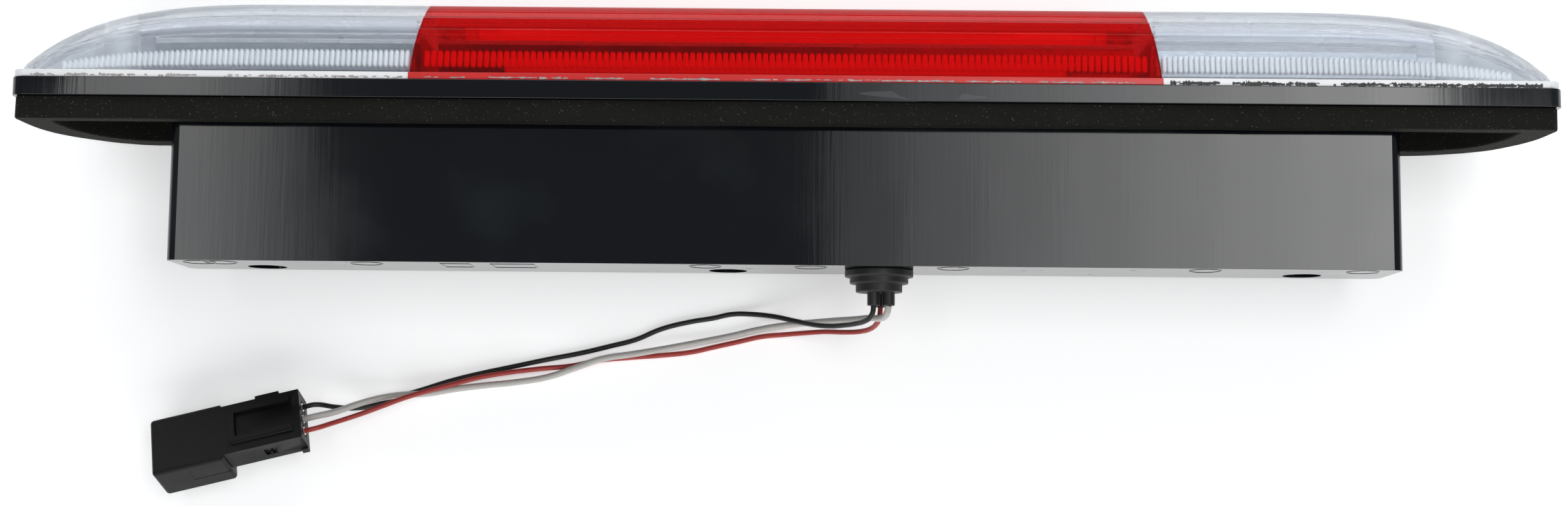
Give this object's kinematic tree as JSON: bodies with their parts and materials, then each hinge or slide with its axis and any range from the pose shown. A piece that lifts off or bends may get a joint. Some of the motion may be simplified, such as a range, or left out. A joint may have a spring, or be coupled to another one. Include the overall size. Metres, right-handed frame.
{
  "type": "third brake light",
  "caption": "Long cab-top stop lamp: red centre and clear cargo-light ends on a black housing with a deep rear box, foam gasket and short three-wire pigtail with a shrouded connector.",
  "frame": {"origin": "middle of the lamp's base box: centred along the length and the depth, at the lowest point of the curved long side it stands on", "axes": "+X along the lamp towards the connector, +Y out of the rear box, so the lens faces -Y, +Z towards the straight long side"},
  "size_m": [0.43, 0.1389, 0.052],
  "materials": {
    "black_housing": "glossy black ABS, scratched",
    "foam": "matt closed-cell foam, brown-black",
    "red_acrylic": "transparent red acrylic",
    "clear_acrylic": "clear acrylic with moulded flutes",
    "bright_metallising": "vacuum-metallised plastic",
    "circuit_board": "green solder mask",
    "red_led": "clear-topped LED",
    "white_led": "yellow phosphor LED",
    "chip": "moulded epoxy",
    "screw_steel": "zinc-plated steel",
    "vent_foam": "porous vent disc",
    "grommet_rubber": "moulded black rubber",
    "lead_insulation": "thin-wall insulation",
    "black_insulation": "thin-wall PVC, black",
    "white_insulation": "thin-wall PVC, off white",
    "red_insulation": "thin-wall PVC, red",
    "connector_nylon": "moulded nylon, satin black",
    "tin_plate": "tin-plated brass",
    "lock_nylon": "natural nylon"
  },
  "bodies": {
    "lamp": {"housing": "black_housing", "foam_gasket": "foam", "red_lens": "red_acrylic", "clear_lens_left": "clear_acrylic", "clear_lens_right": "clear_acrylic", "brake_reflector": "bright_metallising", "cargo_reflector_left": "bright_metallising", "cargo_reflector_right": "bright_metallising", "brake_led_board": "circuit_board", "brake_leds": "red_led", "resistors": "chip", "driver_chips": "chip", "cargo_board_left": "circuit_board", "cargo_board_right": "circuit_board", "cargo_leds_left": "white_led", "cargo_leds_right": "white_led", "reflector_screws": "screw_steel", "carrier_screws": "screw_steel", "vent_plug": "vent_foam", "grommet": "grommet_rubber", "inner_leads": "lead_insulation", "link_leads": "lead_insulation", "black_wire": "black_insulation", "white_wire": "white_insulation", "red_wire": "red_insulation", "connector_housing": "connector_nylon", "connector_terminals": "tin_plate"},
    "lock": {"terminal_lock": "lock_nylon"}
  },
  "joints": [
    {"name": "lock_slide", "type": "slide", "parent": "lamp", "child": "lock", "axis": [0.9711, 0.2385, 0], "range_m": [0, 0.002]}
  ]
}
